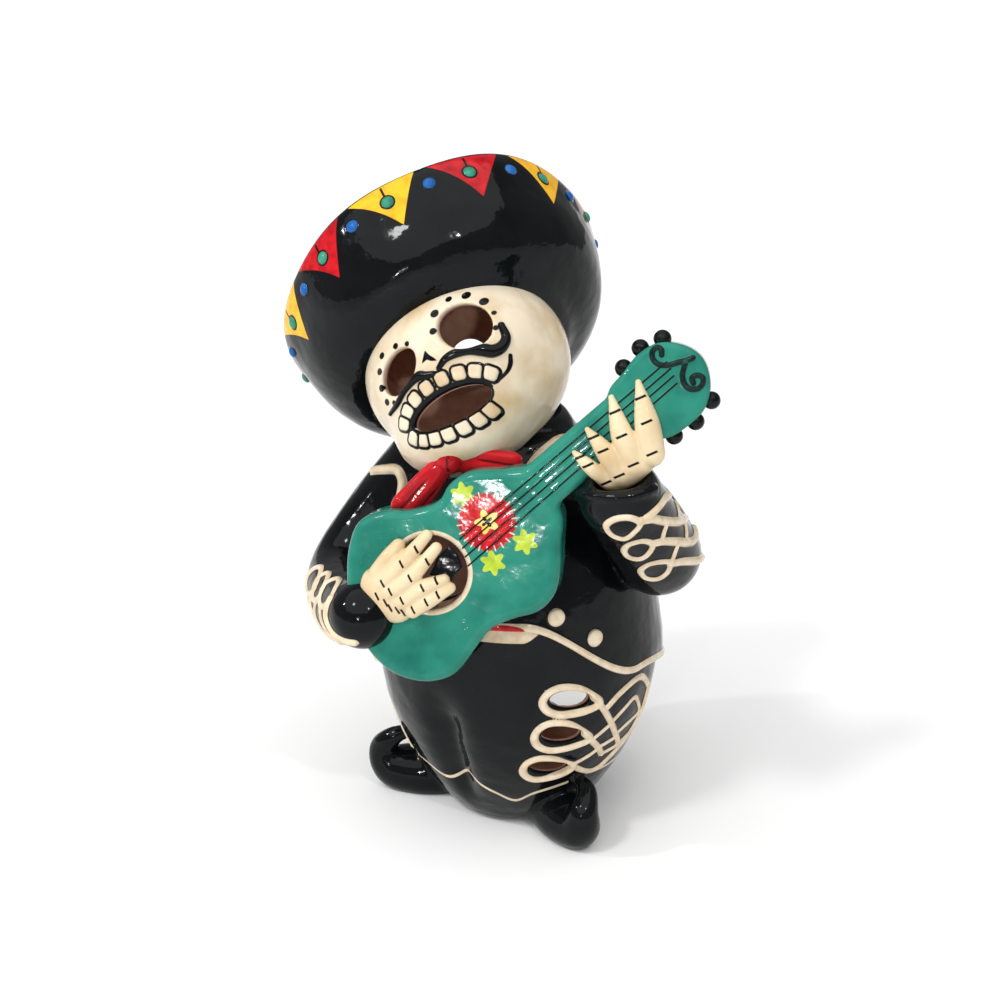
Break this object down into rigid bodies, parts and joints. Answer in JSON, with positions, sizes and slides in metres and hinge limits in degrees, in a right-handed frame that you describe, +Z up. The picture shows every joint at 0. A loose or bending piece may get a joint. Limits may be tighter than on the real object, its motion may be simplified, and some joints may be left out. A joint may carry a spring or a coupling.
{
  "type": "skeleton mariachi tealight figurine",
  "caption": "Glazed ceramic skeleton musician in a sombrero playing a guitar, hollow, with an arched candle doorway in the back.",
  "frame": {"origin": "on the floor, under the middle of the trousers, at the centre of the flat sole", "axes": "+Z up, -Y out of the figure's front, +X toward its left hand"},
  "size_m": [0.1715, 0.158, 0.2579],
  "materials": {
    "glaze": "hand-painted underglaze colours under a clear high gloss glaze"
  },
  "bodies": {
    "root": {"figurine": "glaze"}
  },
  "joints": []
}
